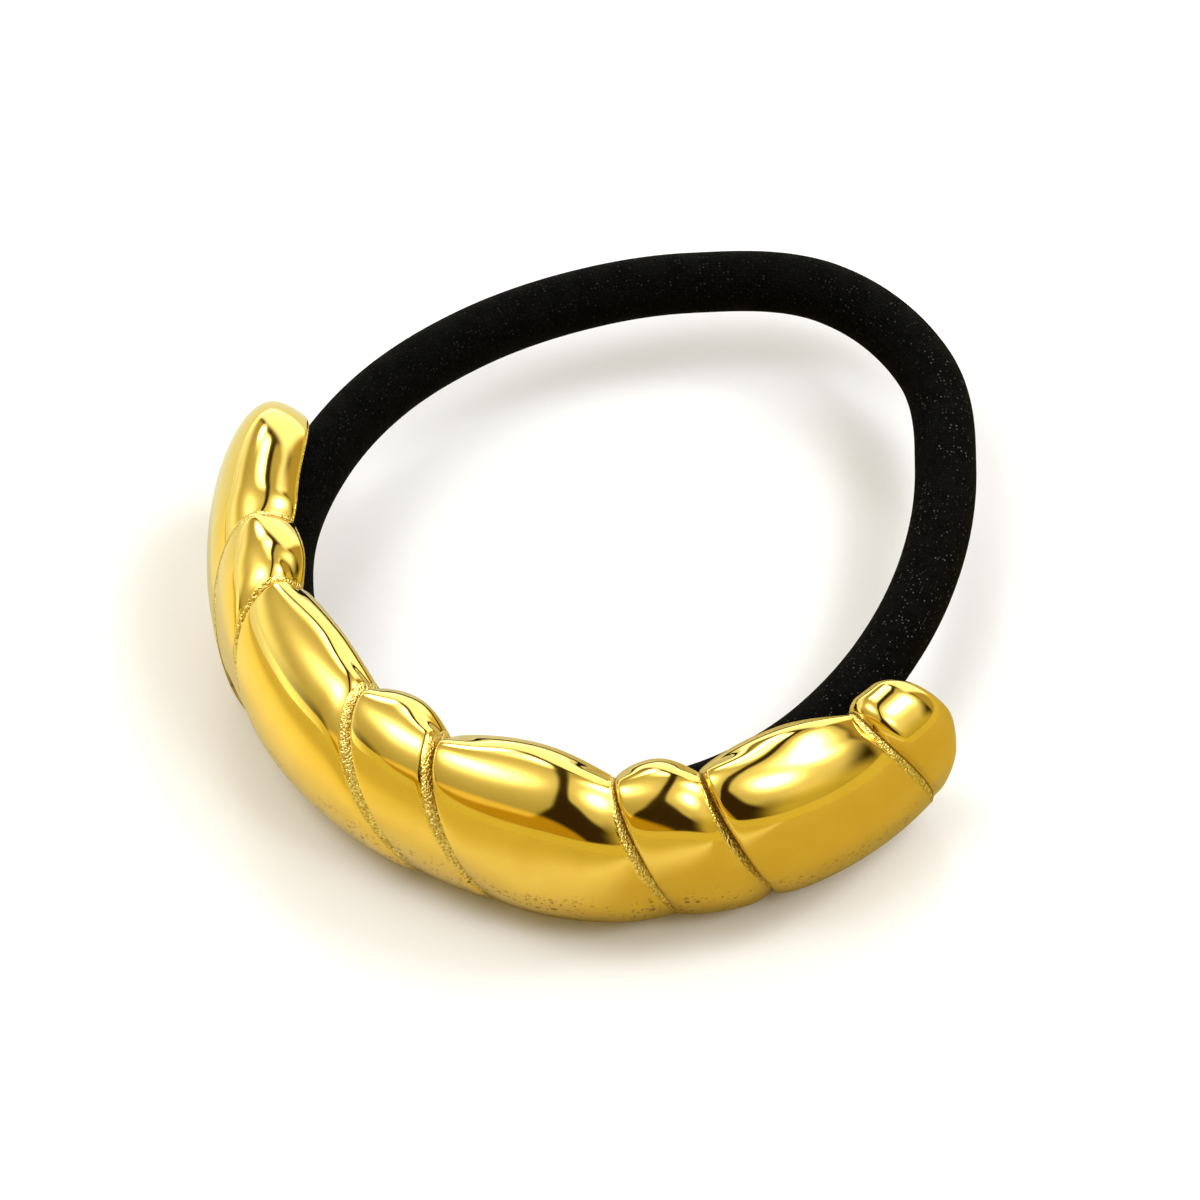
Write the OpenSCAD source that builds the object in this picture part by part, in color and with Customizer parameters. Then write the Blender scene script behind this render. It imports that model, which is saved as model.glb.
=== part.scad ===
// A metal cuff hair tie that lies on its side: a C-shaped cast metal cuff of eight twisted lobes,
// hollow at the back, and a round elastic that runs through two guide loops inside it.
// Angles round the ring are counted from the cuff's middle, which faces -Y, and grow towards +X.

/* [Cuff] */
// Plan radius of the line on which the section turns from bulging out to rolling in
cuff_radius = 23.8; // [23:0.1:26]
// Height of the cuff's section where it stands on its edge
cuff_height = 13.4; // [12.6:0.1:15]
// How far the section bulges out past that line
cuff_bulge = 4.8; // [4.4:0.1:6]
// How far the full section would roll back in past that line
rim_roll = 3.1; // [2.4:0.1:3.6]
// Section angle at which each rolled rim ends, counted from straight out
rim_angle = 120; // [114:1:124]
// Thickness of the cast metal under a groove
wall = 0.9; // [0.7:0.05:1.1]

/* [Lobes] */
// Depth of the grooves, 1 as in the photo
groove_share = 1; // [0.5:0.05:1.1]
// How far the lobes swell past the plain section, 1 as in the photo
swell_share = 1; // [0:0.05:1.2]

/* [Guide loops] */
// Thickness of the wire of the two guide loops
guide_wire = 1.0; // [0.8:0.1:1.2]
// Place of the guide loops on both sides of the middle, in degrees
guide_angle = 20; // [16:1:24]
// Gap between a guide loop and the elastic
guide_gap = 0.3; // [0.2:0.05:0.4]

/* [Elastic] */
// Thickness of the round elastic
elastic_d = 4.2; // [3.6:0.1:4.4]

/* [Hidden] */

half_height = cuff_height / 2;

// The lobes from left to right, a row for each and one for the right end: where it starts at the
// top, middle and bottom of the face, in degrees, the depth of the groove before it at the top and
// at the bottom, and its swell past the plain section at the top, middle and low on the face
TOP = 0;
MIDDLE = 1;
BOTTOM = 2;
GROOVE_TOP = 3;
GROOVE_LOW = 4;
SWELL_TOP = 5;
SWELL_MIDDLE = 6;
SWELL_LOW = 7;
edge_rows = [
    [-72.0, -70.0, -68.0, 0.00, 0.00, 0.10, -0.25, -0.20],
    [-55.8, -44.8, -35.5, 0.50, 0.00, 0.30, -0.25, -0.20],
    [-41.8, -34.5, -26.5, 1.05, 0.05, 0.25, -0.10, 0.10],
    [-15.6, -5.3, 1.5, 0.90, 0.20, 0.35, 0.00, -0.05],
    [-0.3, 7.2, 12.6, 1.15, 0.35, 0.55, 0.00, 0.20],
    [28.2, 34.1, 38.6, 1.30, 0.25, 0.05, 0.00, 0.10],
    [41.8, 47.8, 53.1, 1.30, 0.60, 0.45, 0.00, -0.05],
    [69.8, 75.6, 79.6, 1.20, 0.50, -0.35, -0.20, -0.60],
    [76.0, 79.5, 80.5, 0.00, 0.00, 0.00, 0.00, 0.00]
];
last_lobe = len(edge_rows) - 2;
left_tip = -86;
right_tip = 83;

// The elastic's run round the ring: the plan radius of its centre line at even steps,
// starting behind the cuff's middle; it is pointed where it faces away from the cuff
loop_rows = [23.2, 22.4, 21.3, 20.1, 19.3, 19.4, 20.6, 23.0, 26.5,
             27.5, 25.1, 23.2, 22.3, 22.2, 22.5, 23.2, 23.6, 23.6];

// Number of steps that the meshed shapes are cut into
lobe_steps_wide = 12;
lobe_steps_narrow = 8;
wide_lobe_angle = 20;
round_steps = 6;
outer_steps = 24;
inner_steps = 12;
loop_rings = 84;
loop_sides = 14;
guide_turns = 8;
guide_facets = 12;
// How far the guide loops' legs reach into the shell's wall
leg_sunk = 0.3;

// Shape of a lobe from groove to groove: how full its left and right flanks are
left_fullness = 0.68;
right_fullness = 0.9;
// Share of the lobes' form that the inside of the casting follows
inside_follow = 0.5;
// How much sooner the inside surface ends than the outside, in degrees of the section
lip_angle = 12;
// How far the rim's lip is rounded outwards
lip_round = 0.25;
// Section angles between which a groove changes from its depth at the bottom to that at the top
groove_low_angle = -50;
groove_top_angle = 60;
// Section angle past which a lobe's swell at the top is full
swell_angle = 60;
// The points that the ends close on, out from the section's line and as shares of its height
tip_out = 2.9;
left_tip_share = 0.5;
right_tip_share = 0.73;
// Smallest part of the section at which the ends are capped
cap_start = 10;
// Parts of the full section between which the hollow back closes at the ends
hollow_closed = 0.3;
hollow_open = 0.85;

function clamp01(x) = max(0, min(1, x));
function ease(x) = let(c = clamp01(x)) c * c * (3 - 2 * c);
function mix(a, b, t) = a + (b - a) * t;

// The ring's axis, placed so that the whole part's plan is centred on the origin
ring_centre = [-0.2, -0.5, 0];

// A point of the ring: plan radius, height and angle round the ring
function ring_point(r, z, s) = ring_centre + [r * sin(s), -r * cos(s), z];

// Angle round the ring of a row's edge at a section angle, by the height on the face
function edge_angle(row, phi) =
    let(t = abs(phi) > 90 ? sign(phi) : sin(phi))
    row[MIDDLE] + (row[TOP] - row[BOTTOM]) / 2 * t
        + ((row[TOP] + row[BOTTOM]) / 2 - row[MIDDLE]) * t * t;
function lobe_angle(i, u, phi) =
    mix(edge_angle(edge_rows[i], phi), edge_angle(edge_rows[i + 1], phi), u);

function edge_depth(row, phi) =
    mix(row[GROOVE_LOW], row[GROOVE_TOP],
        ease((phi - groove_low_angle) / (groove_top_angle - groove_low_angle)));
function groove_depth(i, u, phi) =
    groove_share * mix(edge_depth(edge_rows[i], phi), edge_depth(edge_rows[i + 1], phi), u);
// The swell is full at the top rim and fades to none where the cuff stands
function swell(row, phi) =
    let(top = ease(phi / swell_angle), low = phi > -90 && phi < 0 ? -sin(2 * phi) : 0)
    swell_share * (row[SWELL_TOP] * top + row[SWELL_LOW] * low
                   + row[SWELL_MIDDLE] * (1 - ease(abs(phi) / swell_angle)));

// Fullness of a lobe across its width; the outer lobes have no groove at the cuff's ends
function at_end(i, u) = i == 0 && u < 0.5 || i == last_lobe && u > 0.5;
function lobe_form(i, u) =
    at_end(i, u) ? 1 : pow(max(0, sin(180 * u)), u < 0.5 ? left_fullness : right_fullness);
function inside_form(i, u) = at_end(i, u) ? 1 : sin(180 * u);

// A point of the section, moved out from the plain oval by a given amount
function section_point(phi, out) =
    [cuff_radius + ((abs(phi) <= 90 ? cuff_bulge : rim_roll) + out) * cos(phi),
     half_height + (half_height + out) * sin(phi)];
function outer_point(i, u, phi) =
    let(g = groove_depth(i, u, phi))
    section_point(phi, lobe_form(i, u) * (swell(edge_rows[i], phi) + g) - g);
function inner_point(i, u, phi) =
    section_point(phi, -wall - groove_depth(i, u, phi) * (1 - inside_follow * inside_form(i, u)));

// One station of the shell: the outside from the lower to the upper rim, the rounded lip,
// the inside back down, and the other lip; each entry is a section point and its section angle
inner_end = rim_angle - lip_angle;
outer_angles = [for (k = [0:outer_steps]) mix(-rim_angle, rim_angle, k / outer_steps)];
inner_angles = [for (k = [0:inner_steps]) mix(inner_end, -inner_end, k / inner_steps)];
function lip_point(a, b) =
    let(d = b - a, n = [d[1], -d[0]] / norm(d)) (a + b) / 2 + n * lip_round;
function station(i, u) =
    let(outer = [for (p = outer_angles) [outer_point(i, u, p), p]],
        inner = [for (p = inner_angles) [inner_point(i, u, p), p]],
        top_lip = [lip_point(outer[outer_steps][0], inner[0][0]), rim_angle],
        low_lip = [lip_point(inner[inner_steps][0], outer[0][0]), -rim_angle])
    concat(outer, [top_lip], inner, [low_lip]);

function station_points(i, u) =
    [for (q = station(i, u)) ring_point(q[0][0], q[0][1], lobe_angle(i, u, q[1]))];

// A station of an end's rounding: turn runs from 0 at the tip to 90 at the full section
left_point = [cuff_radius + tip_out, cuff_height * left_tip_share];
right_point = [cuff_radius + tip_out, cuff_height * right_tip_share];
inner_first = outer_steps + 2;
inner_last = inner_first + inner_steps;
function end_points(i, u, tip, tip_angle, turn) =
    let(m = sin(turn), w = 1 - cos(turn),
        full = station(i, u),
        open = ease((m - hollow_closed) / (hollow_open - hollow_closed)),
        a = full[inner_first][0], b = full[inner_last][0])
    [for (k = [0:len(full) - 1])
        let(q = full[k],
            hollow = k >= inner_first && k <= inner_last,
            chord = mix(a, b, (k - inner_first) / inner_steps),
            p = hollow ? mix(chord, q[0], open) : q[0],
            c = mix(tip, p, m))
        ring_point(c[0], c[1], mix(tip_angle, lobe_angle(i, u, q[1]), w))];

function lobe_steps(i) =
    edge_rows[i + 1][MIDDLE] - edge_rows[i][MIDDLE] > wide_lobe_angle ? lobe_steps_wide
                                                                      : lobe_steps_narrow;
// Steps lie closer together beside the grooves
function lobe_place(k, steps) = (1 - cos(180 * k / steps)) / 2;

module cuff_shell() {
    left_end = [for (k = [0:round_steps - 1])
        end_points(0, 0, left_point, left_tip, mix(cap_start, 90, k / round_steps))];
    body = [for (i = [0:last_lobe])
        for (k = [(i == 0 ? 0 : 1):lobe_steps(i)])
            station_points(i, lobe_place(k, lobe_steps(i)))];
    right_end = [for (k = [1:round_steps])
        end_points(last_lobe, 1, right_point, right_tip, mix(90, cap_start, k / round_steps))];
    rings = concat(left_end, body, right_end);
    n = len(rings[0]);
    count = len(rings);
    points = concat([for (ring = rings) each ring],
                    [ring_point(left_point[0], left_point[1], left_tip),
                     ring_point(right_point[0], right_point[1], right_tip)]);
    sides = [for (j = [0:count - 2]) for (k = [0:n - 1])
        let(a = j * n + k, b = j * n + (k + 1) % n)
        each [[a, b, b + n], [a, b + n, a + n]]];
    left_cap = [for (k = [0:n - 1]) [count * n, (k + 1) % n, k]];
    right_cap = [for (k = [0:n - 1])
        [count * n + 1, (count - 1) * n + k, (count - 1) * n + (k + 1) % n]];
    polyhedron(points = points, faces = concat(sides, left_cap, right_cap), convexity = 10);
}

// Plan radius of the elastic's centre line, a smooth curve through the rows
loop_count = len(loop_rows);
function loop_radius(s) =
    let(x = s * loop_count / 360, i = floor(x), u = x - i,
        a = loop_rows[(i - 1 + loop_count * 2) % loop_count],
        b = loop_rows[(i + loop_count * 2) % loop_count],
        c = loop_rows[(i + 1 + loop_count * 2) % loop_count],
        d = loop_rows[(i + 2 + loop_count * 2) % loop_count])
    (2 * b + (c - a) * u + (2 * a - 5 * b + 4 * c - d) * u * u
        + (3 * b - a - 3 * c + d) * u * u * u) / 2;
function loop_point(s) = ring_point(loop_radius(s), half_height, s);
tangent_step = 0.5;

module elastic_loop() {
    rings = [for (j = [0:loop_rings - 1])
        let(s = 360 * j / loop_rings,
            t = loop_point(s + tangent_step) - loop_point(s - tangent_step),
            out = [t[1], -t[0], 0] / norm(t))
        [for (k = [0:loop_sides - 1])
            let(turn = 360 * k / loop_sides)
            loop_point(s) + elastic_d / 2 * (cos(turn) * out + [0, 0, sin(turn)])]];
    n = loop_sides;
    faces = [for (j = [0:loop_rings - 1]) for (k = [0:n - 1])
        let(next = (j + 1) % loop_rings,
            a = j * n + k, b = j * n + (k + 1) % n,
            c = next * n + (k + 1) % n, d = next * n + k)
        each [[a, b, c], [a, c, d]]];
    polyhedron(points = [for (ring = rings) each ring], faces = faces, convexity = 10);
}

// A guide loop: a plain U of wire round the elastic, its two legs soldered into the shell
guide_radius = elastic_d / 2 + guide_gap + guide_wire / 2;
leg_reach = cuff_radius + cuff_bulge - wall - leg_sunk;
module guide_loop(s) {
    centre = loop_radius(s);
    path = concat(
        [[leg_reach, half_height + guide_radius]],
        [for (k = [0:guide_turns])
            let(turn = 90 + 180 * k / guide_turns)
            [centre + guide_radius * cos(turn), half_height + guide_radius * sin(turn)]],
        [[leg_reach, half_height - guide_radius]]);
    for (k = [0:len(path) - 2])
        hull()
            for (p = [path[k], path[k + 1]])
                translate(ring_point(p[0], p[1], s))
                    rotate([0, 0, s])
                        sphere(d = guide_wire, $fn = guide_facets);
}

module metal_cuff() {
    color("gold")
        union() {
            cuff_shell();
            guide_loop(-guide_angle);
            guide_loop(guide_angle);
        }
}

module elastic_band() {
    color("black") elastic_loop();
}

metal_cuff();
elastic_band();
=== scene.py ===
"""A metal cuff hair tie that lies on a pale floor: a polished gold cuff of eight twisted lobes,
and the black knitted elastic that runs through its hollow back.

Sizes are in millimetres and angles in degrees, as in the part's own source; a finished vertex is
scaled to metres. Angles round the ring are counted from the cuff's middle, which faces -Y."""
from math import atan2, ceil, cos, degrees, floor, hypot, pi, radians, sin, sqrt

import bmesh
import bpy
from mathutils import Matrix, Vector


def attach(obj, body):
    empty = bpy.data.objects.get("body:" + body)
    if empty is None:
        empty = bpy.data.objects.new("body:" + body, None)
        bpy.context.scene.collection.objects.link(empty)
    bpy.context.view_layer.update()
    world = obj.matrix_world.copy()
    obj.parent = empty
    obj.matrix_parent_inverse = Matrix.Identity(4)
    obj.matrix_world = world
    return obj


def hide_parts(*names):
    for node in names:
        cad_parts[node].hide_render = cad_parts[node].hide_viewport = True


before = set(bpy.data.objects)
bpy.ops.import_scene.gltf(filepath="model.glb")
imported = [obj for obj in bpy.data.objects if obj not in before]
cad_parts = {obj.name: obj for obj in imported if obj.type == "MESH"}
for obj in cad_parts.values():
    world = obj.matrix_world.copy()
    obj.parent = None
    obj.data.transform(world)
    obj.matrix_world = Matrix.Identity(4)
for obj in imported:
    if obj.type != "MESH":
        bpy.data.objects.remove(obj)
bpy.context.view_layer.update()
MM = 0.001
# Points closer than this are one point
MERGE_GAP = 0.00001 * MM

# The cuff's section and the ring that it follows
RING_CENTRE = Vector((-0.2, -0.5, 0.0))
CUFF_RADIUS, CUFF_HEIGHT = 23.8, 13.4
CUFF_BULGE, RIM_ROLL, RIM_ANGLE = 4.8, 3.1, 120.0
WALL, LIP_ANGLE = 0.9, 12.0
HALF_HEIGHT = CUFF_HEIGHT / 2

# The lobes from left to right, and the right end: where each starts at the top, middle and bottom
# of the face, the depth of the groove before it at the top and low down, and its swell past the
# plain section at the top, middle and low on the face. The angles of the seven grooves come from a
# fit to points along them in the photo
TOP, MIDDLE, BOTTOM, GROOVE_TOP, GROOVE_LOW, SWELL_TOP, SWELL_MIDDLE, SWELL_LOW = range(8)
EDGE_ROWS = (
    (-66.0, -64.0, -62.0, 0.00, 0.00, 0.10, -0.25, -0.20),
    (-55.8, -44.8, -35.5, 0.50, 0.00, 0.30, -0.25, -0.20),
    (-41.8, -34.5, -26.5, 1.05, 0.05, 0.25, -0.10, 0.10),
    (-15.6, -5.3, 1.5, 0.90, 0.20, 0.35, 0.00, -0.05),
    (-0.3, 7.2, 12.6, 1.15, 0.35, 0.55, 0.00, 0.20),
    (28.2, 34.1, 38.6, 1.30, 0.25, 0.05, 0.00, 0.10),
    (41.8, 47.8, 53.1, 1.30, 0.60, 0.45, 0.00, -0.05),
    (69.8, 75.6, 79.6, 1.20, 0.50, -0.35, -0.20, -0.60),
    (76.0, 79.5, 80.5, 0.00, 0.00, 0.00, 0.00, 0.00),
)
LAST_LOBE = len(EDGE_ROWS) - 2
LEFT_TIP, RIGHT_TIP, TIP_OUT = -86.0, 83.0, 2.9
LEFT_TIP_SHARE, RIGHT_TIP_SHARE = 0.5, 0.73
# The shares of the full section where the hollow back starts to open and where it is fully open
HOLLOW_CLOSED, HOLLOW_OPEN = 0.3, 0.85
# How late the ends round off: 2 is an ellipse
LEFT_ROUND, RIGHT_ROUND = 3.0, 2.0
# Each lobe's polished face: where across the lobe it is highest, how full it is to the left of that
# line (the lower, the steeper its edge) and to the right (the higher, the later it falls), how far
# its top leans outwards, how far its middle stands out more, and the share of the depth of the
# groove at its left that the face falls by, with the rest cut by the sandy band. The lobes' rows come
# from a fit to the photo's tones on them, and the first four were then changed
CREST, LEFT_FALL, RIGHT_FALL, CREST_LEAN, MIDDLE_OUT, EDGE_SHARE = range(6)
FACE_ROWS = (
    (0.10, 0.45, 2.10, 1.10, 0.00, 1.00),
    (0.70, 0.40, 3.00, 0.90, -0.03, 0.55),
    (0.74, 0.44, 4.40, 0.05, 0.22, 0.05),
    (0.83, 0.51, 5.00, 0.45, -0.04, 0.09),
    (0.57, 0.41, 2.38, 0.41, 0.52, 0.11),
    (0.54, 0.38, 2.73, 0.50, 0.00, 0.35),
    (0.20, 0.15, 1.60, 0.29, 0.33, 0.36),
    (0.37, 0.70, 2.15, 0.12, -0.31, 1.20),
    (0.50, 0.50, 2.00, 0.00, 0.00, 1.00),
)
# How full a lobe is at the rims, to the left and right of its middle
RIM_LEFT, RIM_RIGHT = 0.68, 0.9
# The share of the lobes' lean that stays in the groove between them
LEAN_KEPT = 0.75
# How far into the lobe the lean grows, and where and over what share of it the lean falls again
LEAN_GROWS, LEAN_FALLS_FROM, LEAN_FALLS_OVER = 0.6, 0.45, 0.55
# The width of the steep edge at a lobe's left, which rises out of the groove
LEDGE = 0.25
# The share of a groove's depth by which the wall's inside rises in the middle of a lobe
INSIDE_FOLLOW = 0.5
# A lobe's width is measured this far outside the ring
WIDTH_OUT = 3
# The width of the sandy band at the foot of each lobe's right side: at the top, middle and low down
BAND_TOP, BAND_MIDDLE, BAND_LOW = 0.50, 0.90, 0.25
# Each groove's share of those widths, from left to right: the first ones are nearly plain
BAND_SHARES = (0.4, 0.5, 1.0, 0.9, 0.75, 0.7, 0.7, 1.0)
# How much of the groove's last depth the sandy band takes
BAND_DEPTH = 0.45
# How steeply the edge at a lobe's left and the sandy band fall, and the most of a lobe that a band takes
LEDGE_FALL, BAND_FALL, BAND_MOST = 2, 1.2, 0.3
# Section angles where the low face, the band's top and the rim start, and the degrees each takes
LOW_FROM, LOW_OVER = -40, 60
BAND_TOP_FROM, BAND_TOP_OVER = 30, 40
RIM_FROM, RIM_OVER = 75, 30
# Section angles between which a groove's depth changes, and how far the middle's swell reaches
GROOVE_LOW_ANGLE, GROOVE_TOP_ANGLE, SWELL_ANGLE = -50.0, 60.0, 60.0
# Half the width of the painted shade along the crease at the bottom of a groove
CREASE = 0.05
# The sandy grain: how far it goes past the band and over what width it fades, the same at a lobe's
# left edge by its start and width, and the section angle where it starts and the degrees it takes
GRAIN_PAST, GRAIN_FADE = 0.12, 0.25
EDGE_GRAIN, EDGE_GRAIN_WIDTH = 1.2, 0.08
GRAIN_FROM, GRAIN_OVER = -75, 50
CREASE_START = 1.4
# A distance from a groove where nothing of it shows
FAR = 9
# Minus the cosine of the rim's angle, where a lean ends
LEAN_END = 0.5
# How full the round lips of the wall are
LIP_FULLNESS = 1.1

# How finely the polished cuff is cut: rings for each millimetre of a lobe, and points round a ring
RINGS_PER_MM, LEAST_RINGS, END_RINGS = 5.0, 8, 40
OUTSIDE_STEPS, LIP_STEPS, INSIDE_STEPS = 84, 6, 30

# The guide loops inside the cuff
GUIDE_WIRE, GUIDE_ANGLE, GUIDE_GAP, LEG_SUNK = 1.0, 20.0, 0.3, 0.3
LEG_STEPS, BEND_STEPS, GUIDE_SIDES = 4, 20, 16

# The elastic, and the plan radius of its centre line at even steps round the ring, which come from
# a fit to points along it in the photo
ELASTIC_D = 4.2
LOOP_ROWS = (23.2, 22.4, 21.3, 20.1, 19.3, 19.4, 20.6, 23.0, 26.5,
             27.5, 25.1, 23.2, 22.3, 22.2, 22.5, 23.2, 23.6, 23.6)
LOOP_RINGS, LOOP_SIDES, LOOP_STEP = 900, 48, 0.5

# The finishes' grain: sand in the grooves, waves and tone of the plate, and pits low on the face,
# by their size or spacing and their depth
SAND_SIZE, SAND_DEPTH = 0.17, 0.16
WAVE_SIZE, WAVE_DEPTH, TONE_SIZE = 5.0, 0.02, 3.0
PIT_DEPTH, PIT_TOP, PIT_FULL = 0.03, 7.0, 4.5
# The pits' spacing, and the share of places that have one
PIT_ROWS = ((0.25, 0.45), (0.50, 0.45))
# The gold's colours: darkest and lightest of the plate and of the sand, the painted shade in the creases,
# and the pits
PLATE_TONES = ((0.90, 0.63, 0.10, 1), (0.95, 0.68, 0.12, 1))
SAND_TONES = ((0.66, 0.46, 0.10, 1), (1.0, 0.88, 0.36, 1))
CREASE_SHADE_TONE, PIT_TONE = (0.30, 0.17, 0.03, 1), (0.30, 0.15, 0.02, 1)
# How rough the gold is where polished and where sanded, what patches and pits add, and its clear coat
POLISHED, SANDED, PATCH_ROUGH, PIT_ROUGH = 0.06, 0.36, 0.03, 0.2
COAT, COAT_ROUGH = 0.9, 0.04
# The ranges of a pattern's value over which the pits, the colours, the roughness and the coat change
PIT_PATCHES, PIT_EDGE, PIT_CHOICE = (0.40, 0.55), (0.42, 0.25), 0.05
TONE_RANGE, SAND_RANGE, ROUGH_RANGE, COAT_RANGE = (0.3, 0.7), (0.40, 0.60), (0.4, 0.7), (0.5, 0.0)
# The knit's loops along and round the whole elastic, their depth, and the size of its worn patches
KNIT_ALONG, KNIT_ROUND, KNIT_DEPTH, PATCH_SIZE = 600, 55, 0.08, 1.5
KNIT_UNEVEN, KNIT_SHINE = 0.5, 0.04
# The knit's colours: darkest and lightest yarn, and the shiny threads, whose light colour is a painted
# glint
YARN_TONES = ((0.0006, 0.0006, 0.0006, 1), (0.0028, 0.0028, 0.0026, 1))
THREAD_GLINT_TONE = (0.085, 0.085, 0.08, 1)
# Where the threads' painted glints show: from and to which place, and the least share, to the right and
# upwards, where the light falls
GLINT_RIGHT, GLINT_TOP = (0.0, 18 * MM, 0.25), (5 * MM, 8.5 * MM, 0.35)
# The ranges of a pattern's value over which threads, yarn and roughness change
THREAD_CHOICE, THREAD_MIDDLE, THREAD_PATCHES = (0.50, 0.90), (0.34, 0.16), (0.35, 0.6)
YARN_RANGE, KNIT_ROUGH = (0.55, 0.1), (0.3, 0.7, 0.72, 0.9)
# The floor's colour as the metal sees it, with a painted shadow of the cuff and painted warm light off
# the gold. To the right: by the distance in front of a slanted line. To the left: by the place from front
# to back
FLOOR_RIGHT = ((-0.040, (0.43, 0.37, 0.10)), (-0.022, (0.45, 0.39, 0.12)), (-0.010, (0.52, 0.46, 0.22)),
               (-0.002, (0.62, 0.57, 0.38)), (0.005, (0.62, 0.57, 0.38)), (0.012, (0.37, 0.29, 0.04)))
FLOOR_FRONT = ((-0.060, (0.42, 0.35, 0.08)), (-0.050, (0.46, 0.38, 0.10)), (-0.042, (0.66, 0.56, 0.20)),
               (-0.034, (0.74, 0.66, 0.30)), (-0.026, (0.72, 0.67, 0.40)), (-0.016, (0.62, 0.61, 0.38)),
               (-0.004, (0.54, 0.56, 0.42)))
FLOOR_LINE, FLOOR_LINE_OFF = (0.348, 0.937, 0.0), 0.0324
# Where the colours to the right give way to those to the left, and how far a row of colours reaches
FLOOR_TURN, RAMP_REACH = (0.006, -0.022), 0.1
# The floor as the camera sees it, its roughness, and half its width in metres
FLOOR_SEEN, FLOOR_ROUGH, FLOOR_REACH = (0.84, 0.85, 0.875, 1), 0.7, 1.5

# The photo's view: from the cuff's front and to its right
VIEW_TURN, VIEW_HEIGHT, VIEW_DISTANCE = 30.0, 50.0, 606.667
VIEW_POINT = Vector((0.0, 0.0, 7.0))
VIEW_LEFT, VIEW_DOWN, VIEW_LENS = 1.841, 3.149, 269.88


def clamp01(x):
    return max(0.0, min(1.0, x))


def ease(x):
    c = clamp01(x)
    return c * c * (3 - 2 * c)


def mix(a, b, t):
    return a + (b - a) * t


def ring_point(r, z, s):
    return RING_CENTRE + Vector((r * sin(radians(s)), -r * cos(radians(s)), z))


def place_camera():
    turn, height = radians(VIEW_TURN), radians(VIEW_HEIGHT)
    away = Vector((sin(turn) * cos(height), -cos(turn) * cos(height), sin(height)))
    right = Vector((cos(turn), sin(turn), 0))
    up = away.cross(right)
    middle = RING_CENTRE + VIEW_POINT
    place = middle + away * VIEW_DISTANCE
    aim = middle - right * VIEW_LEFT - up * VIEW_DOWN
    camera = bpy.data.cameras.new("camera")
    camera.lens, camera.sensor_width = VIEW_LENS, 36
    seen = bpy.data.objects.new("camera", camera)
    seen.location = place * MM
    seen.rotation_euler = (aim - place).to_track_quat("-Z", "Y").to_euler()
    bpy.context.collection.objects.link(seen)
    bpy.context.scene.camera = seen


place_camera()


def edge_angle(row, phi):
    t = (1 if phi > 0 else -1) if abs(phi) > 90 else sin(radians(phi))
    return (row[MIDDLE] + (row[TOP] - row[BOTTOM]) / 2 * t
            + ((row[TOP] + row[BOTTOM]) / 2 - row[MIDDLE]) * t * t)


def lobe_angle(i, u, phi):
    return mix(edge_angle(EDGE_ROWS[i], phi), edge_angle(EDGE_ROWS[i + 1], phi), u)


def edge_depth(row, phi):
    change = (phi - GROOVE_LOW_ANGLE) / (GROOVE_TOP_ANGLE - GROOVE_LOW_ANGLE)
    return mix(row[GROOVE_LOW], row[GROOVE_TOP], ease(change))


def groove_depth(i, u, phi):
    return mix(edge_depth(EDGE_ROWS[i], phi), edge_depth(EDGE_ROWS[i + 1], phi), u)


def above_low(phi):
    """0 low on the face and 1 above it."""
    return ease((phi - LOW_FROM) / LOW_OVER)


def at_rim(phi):
    """0 on the face and 1 at the top rim."""
    return ease((phi - RIM_FROM) / RIM_OVER)


def face_share(i, u, phi):
    """The share of the groove's depth that the polished face falls by, which is all of it at the rims."""
    share = mix(FACE_ROWS[i][EDGE_SHARE], FACE_ROWS[i + 1][EDGE_SHARE], u)
    return mix(1.0, mix(share, 1.0, at_rim(phi)), above_low(phi))


def band_cut(i, u, phi):
    """How deep the sandy band and the steep edge after it are cut, as a share of what is left to cut."""
    wide = lobe_width(i, phi)
    before = u * wide / LEDGE if i > 0 else 1
    after = (1 - u) * wide / band_width(i, phi) if i < LAST_LOBE else 1
    return BAND_DEPTH * max(max(0.0, 1 - before) ** LEDGE_FALL, max(0.0, 1 - after) ** BAND_FALL)


def swell(row, phi):
    top = ease(phi / SWELL_ANGLE)
    low = -sin(radians(2 * phi)) if -90 < phi < 0 else 0
    return (row[SWELL_TOP] * top + row[SWELL_LOW] * low
            + row[SWELL_MIDDLE] * (1 - ease(abs(phi) / SWELL_ANGLE)))


def at_end(i, u, crest):
    """Whether a place lies on the far side of the first or the last lobe, where no groove follows."""
    return i == 0 and u < crest or i == LAST_LOBE and u > crest


def band_width(i, phi):
    low = mix(BAND_LOW, BAND_MIDDLE, above_low(phi))
    return mix(low, BAND_TOP, ease((phi - BAND_TOP_FROM) / BAND_TOP_OVER)) * BAND_SHARES[i]


def lobe_width(i, phi):
    turn = edge_angle(EDGE_ROWS[i + 1], phi) - edge_angle(EDGE_ROWS[i], phi)
    return radians(turn) * (CUFF_RADIUS + WIDTH_OUT)


def face_form(i, u, phi):
    """The swell across a lobe's polished face, with the groove's shallow band at its right."""
    row = FACE_ROWS[i]
    crest, left, right = row[CREST], row[LEFT_FALL], row[RIGHT_FALL]
    if u < crest:
        return max(0.0, sin(pi / 2 * u / crest)) ** left
    band = min(BAND_MOST, band_width(i, phi) / lobe_width(i, phi)) if i < LAST_LOBE else 0.0
    flank = 1 - crest - band
    foot = right * band / (2 * flank)
    foot /= 1 + foot
    if u < 1 - band:
        return 1 - (1 - foot) * ((u - crest) / flank) ** right
    return foot * ((1 - u) / band) ** 2 if band else 0.0


def rim_form(u):
    return max(0.0, sin(pi * u)) ** (RIM_LEFT if u < 0.5 else RIM_RIGHT)


def lobe_form(i, u, phi):
    face = 1.0 if at_end(i, u, FACE_ROWS[i][CREST]) else face_form(i, u, phi)
    rim = 1.0 if at_end(i, u, 0.5) else rim_form(u)
    return mix(face, rim, at_rim(phi))


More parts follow.
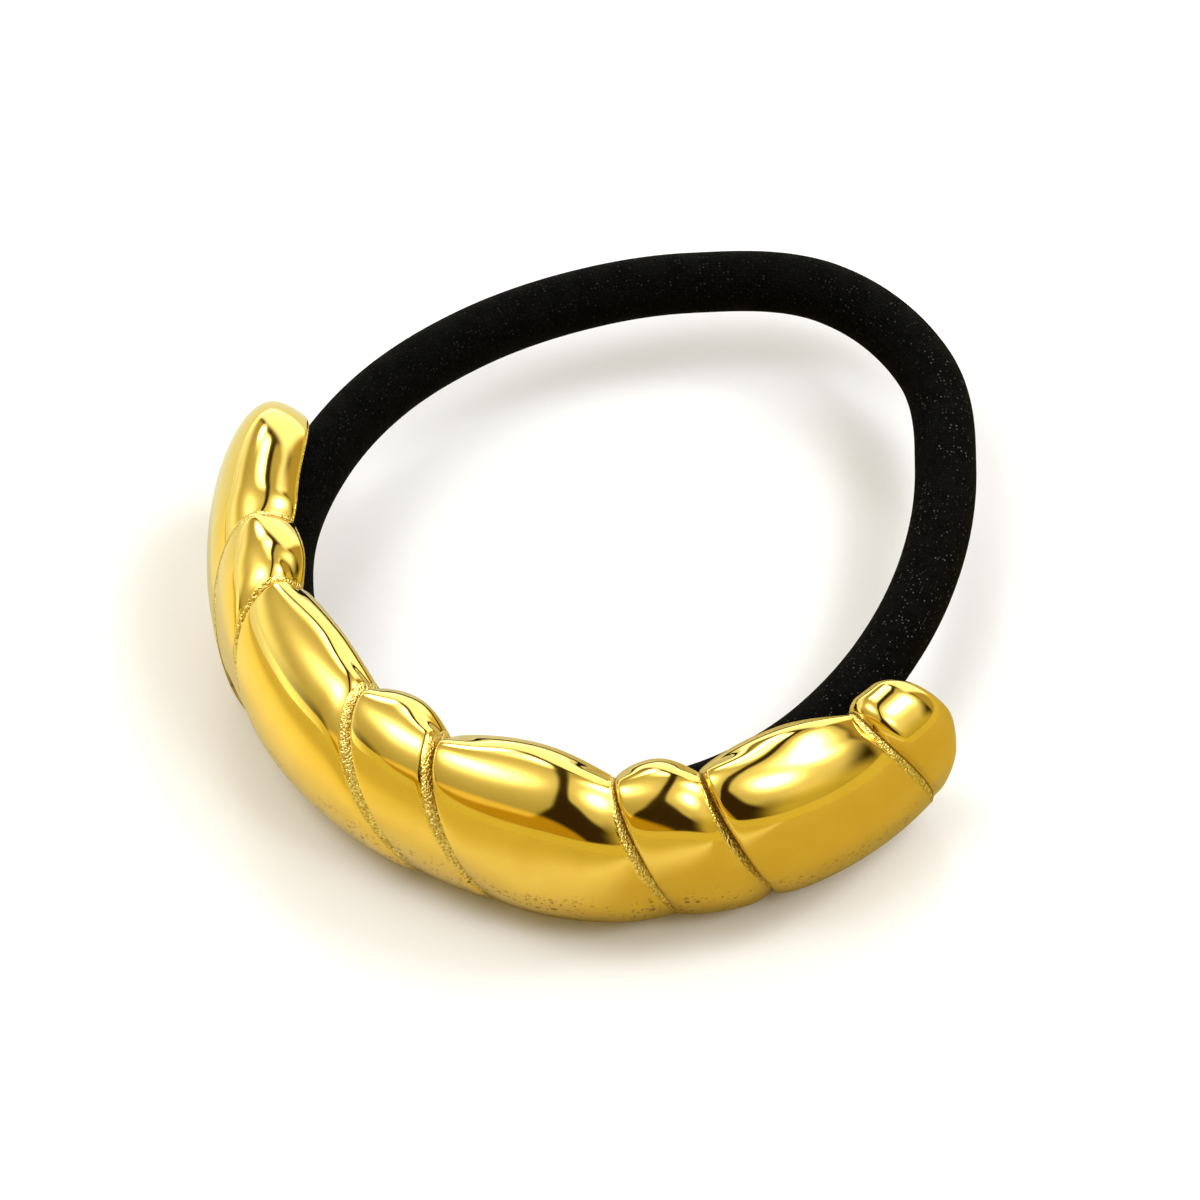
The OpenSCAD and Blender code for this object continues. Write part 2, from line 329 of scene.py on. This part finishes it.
def inside_form(i, u):
    return 1.0 if at_end(i, u, 0.5) else sin(pi * u)


def groove_lean(i):
    if i == 0:
        return FACE_ROWS[0][CREST_LEAN]
    return LEAN_KEPT * min(FACE_ROWS[i - 1][CREST_LEAN], FACE_ROWS[i][CREST_LEAN])


def crest_lean(i, u):
    lean = FACE_ROWS[i][CREST_LEAN]
    before, after = lean - groove_lean(i), lean - groove_lean(i + 1)
    return (lean - before * (1 - ease(u / LEAN_GROWS))
            - after * ease((u - LEAN_FALLS_FROM) / LEAN_FALLS_OVER))


def section_point(phi, out, lean):
    """A point of the section; a lean moves its highest line outwards and leaves its edge in place."""
    c, top = cos(radians(phi)), max(0.0, sin(radians(phi)))
    across = (CUFF_BULGE if abs(phi) <= 90 else RIM_ROLL) + out
    lean *= top * (1 - c if abs(phi) <= 90 else 1 + c / LEAN_END)
    return Vector((CUFF_RADIUS + across * c + lean,
                   HALF_HEIGHT + (HALF_HEIGHT + out) * sin(radians(phi))))


def outer_point(i, u, phi):
    depth, share = groove_depth(i, u, phi), face_share(i, u, phi)
    fall = depth * share
    full = swell(EDGE_ROWS[i], phi) + FACE_ROWS[i][MIDDLE_OUT] * (1 - ease(abs(phi) / SWELL_ANGLE))
    cut = depth * (1 - share) * band_cut(i, u, phi)
    return section_point(phi, lobe_form(i, u, phi) * (full + fall) - fall - cut, crest_lean(i, u))


def inner_point(i, u, phi):
    back = groove_depth(i, u, phi) * (1 - INSIDE_FOLLOW * inside_form(i, u))
    return section_point(phi, -WALL - back, crest_lean(i, u))


def lip(a, before, b, after):
    """A round lip from a to b that leaves along the surface before it and meets the one after."""
    reach = (b - a).length * LIP_FULLNESS
    leave, meet = (a - before).normalized() * reach, (after - b).normalized() * reach
    for k in range(1, LIP_STEPS):
        t = k / LIP_STEPS
        yield ((2 * t ** 3 - 3 * t ** 2 + 1) * a + (t ** 3 - 2 * t ** 2 + t) * leave
               + (3 * t ** 2 - 2 * t ** 3) * b + (t ** 3 - t ** 2) * meet)


def ring_section(i, u):
    """One closed ring of the shell, as section points with their section angles."""
    inner_end = RIM_ANGLE - LIP_ANGLE
    outside = [mix(-RIM_ANGLE, RIM_ANGLE, k / OUTSIDE_STEPS) for k in range(OUTSIDE_STEPS + 1)]
    inside = [mix(inner_end, -inner_end, k / INSIDE_STEPS) for k in range(INSIDE_STEPS + 1)]
    outer = [outer_point(i, u, p) for p in outside]
    inner = [inner_point(i, u, p) for p in inside]
    top = list(lip(outer[-1], outer[-2], inner[0], inner[1]))
    low = list(lip(inner[-1], inner[-2], outer[0], outer[1]))
    return (list(zip(outer, outside)) + [(p, RIM_ANGLE) for p in top]
            + list(zip(inner, inside)) + [(p, -RIM_ANGLE) for p in low])


INNER_FIRST = OUTSIDE_STEPS + LIP_STEPS
INNER_LAST = INNER_FIRST + INSIDE_STEPS


def body_ring(i, u):
    return [ring_point(p.x, p.y, lobe_angle(i, u, phi)) for p, phi in ring_section(i, u)]


def end_ring(i, u, tip, tip_angle, rounding, turn):
    """A ring of an end's rounding, from turn 0 at the tip to 90 at the full section."""
    w = 1 - cos(radians(turn))
    m = sqrt(max(0.0, 1 - (1 - w) ** rounding))
    full = ring_section(i, u)
    opened = ease((m - HOLLOW_CLOSED) / (HOLLOW_OPEN - HOLLOW_CLOSED))
    a, b = full[INNER_FIRST][0], full[INNER_LAST][0]
    points = []
    for k, (p, phi) in enumerate(full):
        if INNER_FIRST <= k <= INNER_LAST:
            p = (a.lerp(b, (k - INNER_FIRST) / INSIDE_STEPS)).lerp(p, opened)
        c = tip.lerp(p, m)
        points.append(ring_point(c.x, c.y, mix(tip_angle, lobe_angle(i, u, phi), w)))
    return points


def cuff_rings():
    """The shell's rings from the left tip to the right one, each with its lobe and place in it."""
    left = Vector((CUFF_RADIUS + TIP_OUT, CUFF_HEIGHT * LEFT_TIP_SHARE))
    right = Vector((CUFF_RADIUS + TIP_OUT, CUFF_HEIGHT * RIGHT_TIP_SHARE))
    for k in range(END_RINGS):
        yield end_ring(0, 0, left, LEFT_TIP, LEFT_ROUND, 90 * k / END_RINGS), 0, 0.0
    for i in range(LAST_LOBE + 1):
        wide = radians(EDGE_ROWS[i + 1][MIDDLE] - EDGE_ROWS[i][MIDDLE]) * CUFF_RADIUS
        steps = ceil(wide * RINGS_PER_MM) + LEAST_RINGS
        for k in range(0 if i == 0 else 1, steps + 1):
            u = (1 - cos(pi * k / steps)) / 2
            yield body_ring(i, u), i, u
    for k in range(1, END_RINGS + 1):
        turn = 90 - 90 * k / END_RINGS
        yield end_ring(LAST_LOBE, 1, right, RIGHT_TIP, RIGHT_ROUND, turn), LAST_LOBE, 1.0


def loop_radius(s):
    n = len(LOOP_ROWS)
    x = s * n / 360
    i = floor(x)
    t = x - i
    a, b, c, d = (LOOP_ROWS[(i + k) % n] for k in (-1, 0, 1, 2))
    return (2 * b + (c - a) * t + (2 * a - 5 * b + 4 * c - d) * t * t
            + (3 * b - a - 3 * c + d) * t ** 3) / 2


def finish_piece(name, bm, material, node):
    mesh = bpy.data.meshes.new(name)
    bm.to_mesh(mesh)
    bm.free()
    mesh.materials.append(material)
    mesh.shade_smooth()
    piece = bpy.data.objects.new(name, mesh)
    bpy.context.collection.objects.link(piece)
    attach(piece, "root")
    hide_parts(node)
    return piece


def add_guide_loop(bm, s):
    """A plain U of wire round the elastic, with both legs in the shell."""
    radius = ELASTIC_D / 2 + GUIDE_GAP + GUIDE_WIRE / 2
    reach = CUFF_RADIUS + CUFF_BULGE - WALL - LEG_SUNK
    centre = loop_radius(s)
    path = [(mix(reach, centre, k / LEG_STEPS), HALF_HEIGHT + radius) for k in range(LEG_STEPS)]
    for k in range(BEND_STEPS + 1):
        bend = radians(90 + 180 * k / BEND_STEPS)
        path.append((centre + radius * cos(bend), HALF_HEIGHT + radius * sin(bend)))
    path += [(mix(centre, reach, k / LEG_STEPS), HALF_HEIGHT - radius) for k in range(1, LEG_STEPS + 1)]
    made = bmesh.ops.create_grid(bm, x_segments=len(path) - 1, y_segments=GUIDE_SIDES, size=0.5)
    side = Vector((cos(radians(s)), sin(radians(s)), 0))
    last = len(path) - 1
    for v in made["verts"]:
        k = round((v.co.x + 0.5) * last)
        turn = 2 * pi * (v.co.y + 0.5)
        before, after = path[max(k - 1, 0)], path[min(k + 1, last)]
        along = (ring_point(*after, s) - ring_point(*before, s)).normalized()
        v.co = (ring_point(*path[k], s)
                + (side * cos(turn) + along.cross(side) * sin(turn)) * GUIDE_WIRE / 2) * MM


def make_cuff(material):
    rings = list(cuff_rings())
    around = len(rings[0][0])
    bm = bmesh.new()
    grain = bm.verts.layers.float.new("grain")
    crease = bm.verts.layers.float.new("crease")
    made = bmesh.ops.create_grid(bm, x_segments=len(rings) - 1, y_segments=around, size=0.5)
    for v in made["verts"]:
        k = round((v.co.x + 0.5) * (len(rings) - 1))
        j = round((v.co.y + 0.5) * around) % around
        points, i, u = rings[k]
        v.co = points[j] * MM
        v[grain], v[crease] = groove_marks(i, u, j)
    for s in (-GUIDE_ANGLE, GUIDE_ANGLE):
        add_guide_loop(bm, s)
    bmesh.ops.remove_doubles(bm, verts=bm.verts, dist=MERGE_GAP)
    bmesh.ops.recalc_face_normals(bm, faces=bm.faces)
    return finish_piece("cuff", bm, material, "metal_cuff")


def groove_marks(i, u, j):
    """How much a point shows of a groove's sandy band and of the painted shade along its crease, each
    from 0 to 1.
    """
    if j > OUTSIDE_STEPS:
        return 1.0, 0.0
    phi = mix(-RIM_ANGLE, RIM_ANGLE, j / OUTSIDE_STEPS)
    before = u * lobe_width(i, phi) if i > 0 else FAR
    after = (1 - u) * lobe_width(i, phi) if i < LAST_LOBE else FAR
    fade = ease((phi - GRAIN_FROM) / GRAIN_OVER)
    band = ease((band_width(i, phi) + GRAIN_PAST - after) / GRAIN_FADE)
    sandy = max(band, ease(EDGE_GRAIN - before / EDGE_GRAIN_WIDTH))
    return fade * sandy, fade * ease(CREASE_START - min(before, after) / CREASE)


def make_elastic(material):
    bm = bmesh.new()
    bm.loops.layers.uv.new("knit")
    made = bmesh.ops.create_grid(bm, x_segments=LOOP_RINGS, y_segments=LOOP_SIDES, size=0.5,
                                 calc_uvs=True)
    for v in made["verts"]:
        s = 360 * (v.co.x + 0.5)
        turn = 2 * pi * v.co.y + pi / 2
        here = ring_point(loop_radius(s), HALF_HEIGHT, s)
        behind = ring_point(loop_radius(s - LOOP_STEP), 0, s - LOOP_STEP)
        along = ring_point(loop_radius(s + LOOP_STEP), 0, s + LOOP_STEP) - behind
        along.normalize()
        out = Vector((along.y, -along.x, 0))
        v.co = (here + (out * cos(turn) + Vector((0, 0, 1)) * sin(turn)) * ELASTIC_D / 2) * MM
    bmesh.ops.remove_doubles(bm, verts=bm.verts, dist=MERGE_GAP)
    bmesh.ops.recalc_face_normals(bm, faces=bm.faces)
    return finish_piece("elastic", bm, material, "elastic_band")


def new_material(name):
    material = bpy.data.materials.new(name)
    material.use_nodes = True
    return material, material.node_tree, material.node_tree.nodes["Principled BSDF"]


def put(tree, kind, inputs=(), **settings):
    """A new node with its settings, and a number, a colour or a link for each of its inputs."""
    node = tree.nodes.new(kind)
    for name, value in settings.items():
        setattr(node, name, value)
    for name, value in dict(inputs).items():
        if isinstance(value, bpy.types.NodeSocket):
            tree.links.new(value, node.inputs[name])
        else:
            node.inputs[name].default_value = value
    return node


def reckon(tree, operation, *values):
    return put(tree, "ShaderNodeMath", enumerate(values), operation=operation).outputs[0]


def times(tree, first, second):
    return reckon(tree, "MULTIPLY", first, second)


def plus(tree, first, second):
    return reckon(tree, "ADD", first, second)


def facing(tree, first, second):
    """How far one direction goes along another."""
    inputs = {0: first, 1: second}
    return put(tree, "ShaderNodeVectorMath", inputs, operation="DOT_PRODUCT").outputs["Value"]


def rise(tree, value, start, stop, low=0.0, high=1.0):
    """A smooth change from low to high while the value goes from start to stop."""
    limits = {"Value": value, "From Min": start, "From Max": stop, "To Min": low, "To Max": high}
    return put(tree, "ShaderNodeMapRange", limits, interpolation_type="SMOOTHSTEP").outputs["Result"]


def rise_straight(tree, value, start, stop):
    """An even change from 0 to 1 while the value goes from start to stop."""
    limits = {"Value": value, "From Min": start, "From Max": stop}
    return put(tree, "ShaderNodeMapRange", limits).outputs["Result"]


def noise(tree, place, size, detail):
    """Noise whose grains are about a size in millimetres."""
    inputs = {"Vector": place, "Scale": 1 / (size * MM), "Detail": detail}
    return put(tree, "ShaderNodeTexNoise", inputs).outputs["Fac"]


def blend(tree, amount, first, second):
    """A colour between two others."""
    return put(tree, "ShaderNodeMix", {"Factor": amount, "A": first, "B": second},
               data_type="RGBA").outputs["Result"]


def gold_finish():
    """Polished gold plate with sandy grooves, painted shade along the grooves' creases, slight waves, and
    fine casting pits low on the face.
    """
    material, tree, shader = new_material("polished gold")
    place = put(tree, "ShaderNodeTexCoord").outputs["Object"]
    groove = put(tree, "ShaderNodeAttribute", attribute_name="grain").outputs["Fac"]
    # The crease mask marks where painted shade darkens the bottom of a groove
    crease = put(tree, "ShaderNodeAttribute", attribute_name="crease").outputs["Fac"]
    sand = noise(tree, place, SAND_SIZE, detail=1.0)
    waves = noise(tree, place, WAVE_SIZE, detail=1.0)
    tone = noise(tree, place, TONE_SIZE, detail=2.0)
    height = put(tree, "ShaderNodeSeparateXYZ", {0: place}).outputs["Z"]
    low = rise(tree, height, PIT_TOP * MM, PIT_FULL * MM)
    beside = rise(tree, noise(tree, place, PATCH_SIZE, detail=2.0), *PIT_PATCHES)
    pits = None
    for spacing, share in PIT_ROWS:
        cells = put(tree, "ShaderNodeTexVoronoi", {"Vector": place, "Scale": 1 / (spacing * MM)})
        draw = put(tree, "ShaderNodeSeparateColor", {0: cells.outputs["Color"]}).outputs["Red"]
        spot = times(tree, rise(tree, cells.outputs["Distance"], *PIT_EDGE),
                     rise(tree, draw, 1 - share, 1 + PIT_CHOICE - share))
        pits = reckon(tree, "MAXIMUM", pits, spot) if pits else spot
    pits = times(tree, times(tree, pits, low), beside)

    plate = blend(tree, rise(tree, tone, *TONE_RANGE), *PLATE_TONES)
    sanded = blend(tree, rise(tree, sand, *SAND_RANGE), *SAND_TONES)
    # The crease's darker colour is painted shade at the bottom of each groove
    colour = blend(tree, crease, blend(tree, groove, plate, sanded), CREASE_SHADE_TONE)
    tree.links.new(blend(tree, pits, colour, PIT_TONE), shader.inputs["Base Color"])

    rough = plus(tree, rise(tree, groove, 0.0, 1.0, POLISHED, SANDED),
                 rise(tree, tone, *ROUGH_RANGE, 0.0, PATCH_ROUGH))
    rough = plus(tree, rough, times(tree, pits, PIT_ROUGH))
    tree.links.new(rough, shader.inputs["Roughness"])
    tree.links.new(rise(tree, groove, *COAT_RANGE, 0.0, COAT), shader.inputs["Coat Weight"])
    shader.inputs["Coat Roughness"].default_value = COAT_ROUGH
    shader.inputs["Metallic"].default_value = 1.0

    relief = times(tree, times(tree, sand, groove), SAND_DEPTH)
    relief = plus(tree, relief, times(tree, waves, WAVE_DEPTH))
    relief = reckon(tree, "SUBTRACT", relief, times(tree, pits, PIT_DEPTH))
    bump = put(tree, "ShaderNodeBump", {"Height": relief, "Distance": MM})
    tree.links.new(bump.outputs["Normal"], shader.inputs["Normal"])
    return material


def elastic_finish():
    """Matte black knit: fine rows of loops round the cord, and a few shiny threads, painted lighter as
    glints towards the lit right and top.
    """
    material, tree, shader = new_material("black knit")
    along = put(tree, "ShaderNodeUVMap", uv_map="knit").outputs["UV"]
    rows = put(tree, "ShaderNodeVectorMath", {0: along, 1: (KNIT_ALONG, KNIT_ROUND, 0)},
               operation="MULTIPLY").outputs["Vector"]
    loops = put(tree, "ShaderNodeTexVoronoi", {"Vector": rows, "Scale": 1.0, "Randomness": KNIT_UNEVEN})
    inside = loops.outputs["Distance"]
    draw = put(tree, "ShaderNodeSeparateColor", {0: loops.outputs["Color"]}).outputs["Red"]
    place = put(tree, "ShaderNodeTexCoord").outputs["Object"]
    x, _, z = put(tree, "ShaderNodeSeparateXYZ", {0: place}).outputs
    patch = noise(tree, place, PATCH_SIZE, detail=2.0)
    # The threads' painted glints grow towards the right and the top, where the light falls on the knit
    lit_side = times(tree, rise(tree, x, *GLINT_RIGHT), rise(tree, z, *GLINT_TOP))
    shiny = times(tree, rise(tree, draw, *THREAD_CHOICE), rise(tree, inside, *THREAD_MIDDLE))
    shiny = times(tree, times(tree, shiny, lit_side), rise(tree, patch, *THREAD_PATCHES))

    yarn = blend(tree, rise(tree, inside, *YARN_RANGE), *YARN_TONES)
    # The threads' lighter colour stands in for their glints: a painted highlight
    tree.links.new(blend(tree, shiny, yarn, THREAD_GLINT_TONE), shader.inputs["Base Color"])
    tree.links.new(rise(tree, patch, *KNIT_ROUGH), shader.inputs["Roughness"])
    shader.inputs["Specular IOR Level"].default_value = KNIT_SHINE
    relief = times(tree, inside, -KNIT_DEPTH)
    bump = put(tree, "ShaderNodeBump", {"Height": relief, "Distance": MM})
    tree.links.new(bump.outputs["Normal"], shader.inputs["Normal"])
    return material


def ramp(tree, value, rows):
    """A colour for each value in metres, from rows of a value and its colour."""
    place = rise_straight(tree, value, -RAMP_REACH, RAMP_REACH)
    shades = put(tree, "ShaderNodeValToRGB", {"Fac": place})
    shades.color_ramp.interpolation = "B_SPLINE"
    for _ in rows[2:]:
        shades.color_ramp.elements.new(0.5)
    for element, (stop, colour) in zip(shades.color_ramp.elements, rows):
        element.position, element.color = (stop + RAMP_REACH) / (2 * RAMP_REACH), colour + (1,)
    return shades.outputs["Color"]


def floor_finish():
    """A pale floor, whose mirror image in the metal has a painted shadow and painted warm light, so it is
    a little darker and warmer.
    """
    material, tree, shader = new_material("pale floor")
    shader.inputs["Roughness"].default_value = FLOOR_ROUGH
    place = put(tree, "ShaderNodeTexCoord").outputs["Object"]
    x, y, _ = put(tree, "ShaderNodeSeparateXYZ", {0: place}).outputs
    to_right = ramp(tree, plus(tree, facing(tree, place, FLOOR_LINE), FLOOR_LINE_OFF), FLOOR_RIGHT)
    # Only the metal's reflections see this painted shadow and light; the camera sees the plain pale floor
    painted_shadow_and_light = blend(tree, rise(tree, x, *FLOOR_TURN), to_right, ramp(tree, y, FLOOR_FRONT))
    by_camera = put(tree, "ShaderNodeLightPath").outputs["Is Camera Ray"]
    tree.links.new(blend(tree, by_camera, painted_shadow_and_light, FLOOR_SEEN), shader.inputs["Base Color"])
    return material


def lay_floor():
    bm = bmesh.new()
    bmesh.ops.create_grid(bm, x_segments=2, y_segments=2, size=FLOOR_REACH)
    mesh = bpy.data.meshes.new("floor")
    bm.to_mesh(mesh)
    bm.free()
    mesh.materials.append(floor_finish())
    floor_piece = bpy.data.objects.new("floor", mesh)
    bpy.context.collection.objects.link(floor_piece)


# The studio's lamps and panels, in degrees from straight up: to the right, and to the front.
# A row for each lamp: right, front, strength, and how tightly its glow is gathered
ROOF_LAMP = ((-20.0, 10.0, 0.55, 5.0), (-26.0, 14.0, 6.0, 42.0), (-14.0, 18.0, 2.0, 60.0),
             (-18.5, -38.0, 6.0, 140.0))
SIDE_LAMP = ((35.0, -10.0, 0.7, 5.0), (26.0, -29.0, 12.0, 70.0), (38.0, 2.0, 11.0, 90.0))
EDGE_LAMP = ((-36.0, -42.0, 16.0, 260.0), (-48.0, -84.0, 10.0, 200.0))
# Corners of the roof panel and of the side panel, round each in one direction, and how softly the
# light falls off at the side that starts there
ROOF_PANEL = ((-13, -46, 4), (-75, -58, 12), (-82, 20, 12), (-55, 66, 4), (-20, 73, 4), (10, 70, 4),
              (17, 45, 4), (11.5, 16, 4), (1.5, -12, 4))
SIDE_PANEL = ((-10, -46, 4), (3.5, -12, 4), (14, 17, 4), (21, 28, 5), (46, 38, 6), (66, 34, 16),
              (80, 0, 20), (74, -34, 16), (44, -56, 4), (0, -52, 4))
# The panels' even dim light
DIM_SHARE = 0.42
# The other lights, by the angles over which each comes up and by its strength. The wall and the
# corner stand behind, along a line that is turned a little to the right
BACK_TURN = 0.1
WALL_BACK, WALL_RIGHT, WALL_LIGHT = (47.0, 54.0), (18.0, 6.0), 1.5
CORNER_BACK, CORNER_RIGHT, CORNER_LIGHT = (54.0, 60.0), (-4.0, 12.0), 0.45
LEFT_SIDE = (-56.0, -76.0)
FRONT_LOW, FRONT_LIGHT = (60.0, 66.0), 0.48
BESIDE_RIGHT, BESIDE_FRONT, BESIDE_LIGHT = (56.0, 74.0), (50.0, 20.0), 0.55
GROUND_RIGHT, GROUND_LIGHT = (-84.0, -72.0), 0.70
ROOM_LIGHT = 0.035
# How high a direction points where the ground far off ends and the lights above it start
ABOVE_GROUND, GROUND_END = (0.14, 0.18), (0.17, 0.14)
# The colours of the lamps, the panels' dim light, the low front, the corner, the left side, the
# ground far off and the dark room
LAMP_TONE, DIM_TONE, WARM_TONE = (1.0, 1.0, 1.05), (1.0, 0.9, 0.45), (1.0, 0.62, 0.03)
CORNER_TONE, LEFT_TONE = (1.0, 0.8, 0.3), (0.9, 0.95, 1.0)
GROUND_TONE, ROOM_TONE = (1.0, 0.86, 0.24), (1.0, 0.6, 0.25)
# Keeps the direction straight up from dividing by nothing
LEAST_LEVEL = 1e-4


def light_studio():
    world = bpy.data.worlds.new("studio")
    bpy.context.scene.world = world
    world.use_nodes = True
    tree = world.node_tree
    sight = put(tree, "ShaderNodeTexCoord").outputs["Generated"]

    x, y, z = put(tree, "ShaderNodeSeparateXYZ", {0: sight}).outputs
    level = put(tree, "ShaderNodeCombineXYZ", {"X": x, "Y": y}).outputs["Vector"]
    level = put(tree, "ShaderNodeVectorMath", {0: level}, operation="LENGTH").outputs["Value"]
    tilt = times(tree, reckon(tree, "ARCCOSINE", z), degrees(1))
    away = reckon(tree, "DIVIDE", tilt, reckon(tree, "MAXIMUM", level, LEAST_LEVEL))
    right = times(tree, x, away)
    front = times(tree, times(tree, y, -1.0), away)

    def lamp(rows):
        """The glow of some lamps, each round its own direction."""
        light = 0.0
        for across, ahead, strength, gather in rows:
            lean, turn = radians(hypot(across, ahead)), atan2(across, ahead)
            middle = (sin(turn) * sin(lean), -cos(turn) * sin(lean), cos(lean))
            near = reckon(tree, "MAXIMUM", facing(tree, sight, middle), 0.0)
            light = plus(tree, times(tree, reckon(tree, "POWER", near, gather), strength), light)
        return light

    def panel(corners):
        """Light inside the corners, which falls off over a few degrees at each side."""
        shape = None
        for (ar, af, soft), (br, bf, _) in zip(corners, corners[1:] + corners[:1]):
            long = hypot(br - ar, bf - af)
            nr, nf = (bf - af) / long, -(br - ar) / long
            inside = plus(tree, times(tree, right, nr), times(tree, front, nf))
            side = rise(tree, inside, ar * nr + af * nf, ar * nr + af * nf + soft)
            shape = times(tree, shape, side) if shape else side
        return shape

    def tint(amount, tone):
        inputs = {0: tone, "Scale": amount}
        return put(tree, "ShaderNodeVectorMath", inputs, operation="SCALE").outputs["Vector"]

    roof, side = panel(ROOF_PANEL), panel(SIDE_PANEL)
    dim = times(tree, plus(tree, roof, side), DIM_SHARE)
    roof, side = times(tree, roof, lamp(ROOF_LAMP)), times(tree, side, lamp(SIDE_LAMP))
    back = plus(tree, times(tree, front, -1.0), times(tree, right, BACK_TURN))
    wall = times(tree, rise(tree, back, *WALL_BACK), rise(tree, right, *WALL_RIGHT, 0.0, WALL_LIGHT))
    left = rise(tree, right, *LEFT_SIDE)
    white = lamp(EDGE_LAMP)
    for part in (roof, side, wall):
        white = plus(tree, white, part)

    above = rise(tree, z, *ABOVE_GROUND)
    low_front = times(tree, rise(tree, front, *FRONT_LOW), times(tree, above, FRONT_LIGHT))
    ground = times(tree, rise(tree, z, *GROUND_END, 0.0, GROUND_LIGHT), rise(tree, right, *GROUND_RIGHT))
    beside = times(tree, rise(tree, right, *BESIDE_RIGHT, 0.0, BESIDE_LIGHT),
                   rise(tree, front, *BESIDE_FRONT))
    beside = times(tree, beside, above)
    corner = times(tree, rise(tree, back, *CORNER_BACK),
                   rise(tree, right, *CORNER_RIGHT, 0.0, CORNER_LIGHT))
    corner = times(tree, corner, above)
    light = tint(white, LAMP_TONE)
    for amount, tone in ((dim, DIM_TONE), (low_front, WARM_TONE), (corner, CORNER_TONE),
                         (beside, GROUND_TONE), (left, LEFT_TONE), (ground, GROUND_TONE),
                         (ROOM_LIGHT, ROOM_TONE)):
        inputs = {0: light, 1: tint(amount, tone)}
        light = put(tree, "ShaderNodeVectorMath", inputs, operation="ADD").outputs["Vector"]
    tree.links.new(light, tree.nodes["Background"].inputs["Color"])


make_cuff(gold_finish())
make_elastic(elastic_finish())
lay_floor()
light_studio()
bpy.context.scene.view_settings.view_transform = "Standard"
